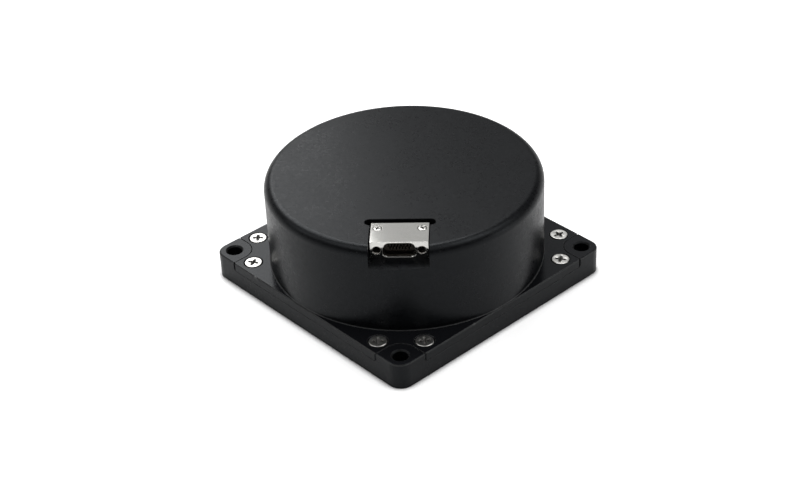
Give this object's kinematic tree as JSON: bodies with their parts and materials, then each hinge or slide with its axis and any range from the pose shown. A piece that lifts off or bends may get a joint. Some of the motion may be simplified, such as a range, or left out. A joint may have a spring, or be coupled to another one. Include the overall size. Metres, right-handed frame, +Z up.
{
  "type": "fibre-optic gyroscope",
  "caption": "Sealed single-axis fibre-optic gyroscope: a round black metal drum on a square base with corner mounting holes, and a small multi-way connector in a bay in the drum's rim.",
  "frame": {"origin": "middle of the base's underside", "axes": "+Z up along the sensing axis, with the square base's corners on the X and Y axes; the connector faces -Y"},
  "size_m": [0.1648, 0.1648, 0.051],
  "materials": {
    "black_anodised": "matte black anodising over a fine bead-blasted surface",
    "stainless": "bright passivated stainless steel",
    "nickel_shell": "bright nickel plating",
    "gold_contact": "gold plating",
    "connector_plastic": "dark moulded thermoset",
    "seal_rubber": "black elastomer",
    "shield_metal": "annealed soft magnetic sheet",
    "bare_aluminium": "machined, clear passivated",
    "wound_fibre": "coated glass fibre in clear potting",
    "tape": "amber polyimide tape",
    "fibre_sleeve": "yellow sleeve",
    "optics_case": "gold-plated case",
    "steel_case": "plain steel case",
    "thermal_pad": "grey thermal pad",
    "circuit_board": "green solder mask",
    "chip_plastic": "black moulding compound",
    "capacitor_can": "drawn aluminium can",
    "header_plastic": "cream moulded plastic",
    "flex_film": "amber polyimide film",
    "resin": "black sealing resin"
  },
  "bodies": {
    "root": {"base_plate": "black_anodised", "housing_cover": "black_anodised", "cover_screws": "stainless", "cover_seal": "seal_rubber", "shield_cup": "shield_metal", "shield_lid": "shield_metal", "coil_spool": "bare_aluminium", "fibre_coil": "wound_fibre", "coil_wrap": "tape", "spool_screws": "stainless", "tray_posts": "bare_aluminium", "optics_tray": "bare_aluminium", "tray_screws": "stainless", "light_source": "optics_case", "thermal_pad": "thermal_pad", "phase_modulator": "optics_case", "fibre_coupler": "steel_case", "photodetector": "steel_case", "fibre_loops": "fibre_sleeve", "fibre_leads": "fibre_sleeve", "board_standoffs": "bare_aluminium", "control_board": "circuit_board", "board_screws": "stainless", "processor_chip": "chip_plastic", "converter_chips": "chip_plastic", "driver_chips": "chip_plastic", "capacitors": "capacitor_can", "timing_crystal": "steel_case", "board_header": "header_plastic", "connector_lead": "flex_film", "connector_contacts": "gold_contact", "connector_insulator": "connector_plastic", "connector_shell": "nickel_shell", "jack_inserts": "stainless", "connector_screws": "stainless", "connector_potting": "resin"}
  },
  "joints": []
}
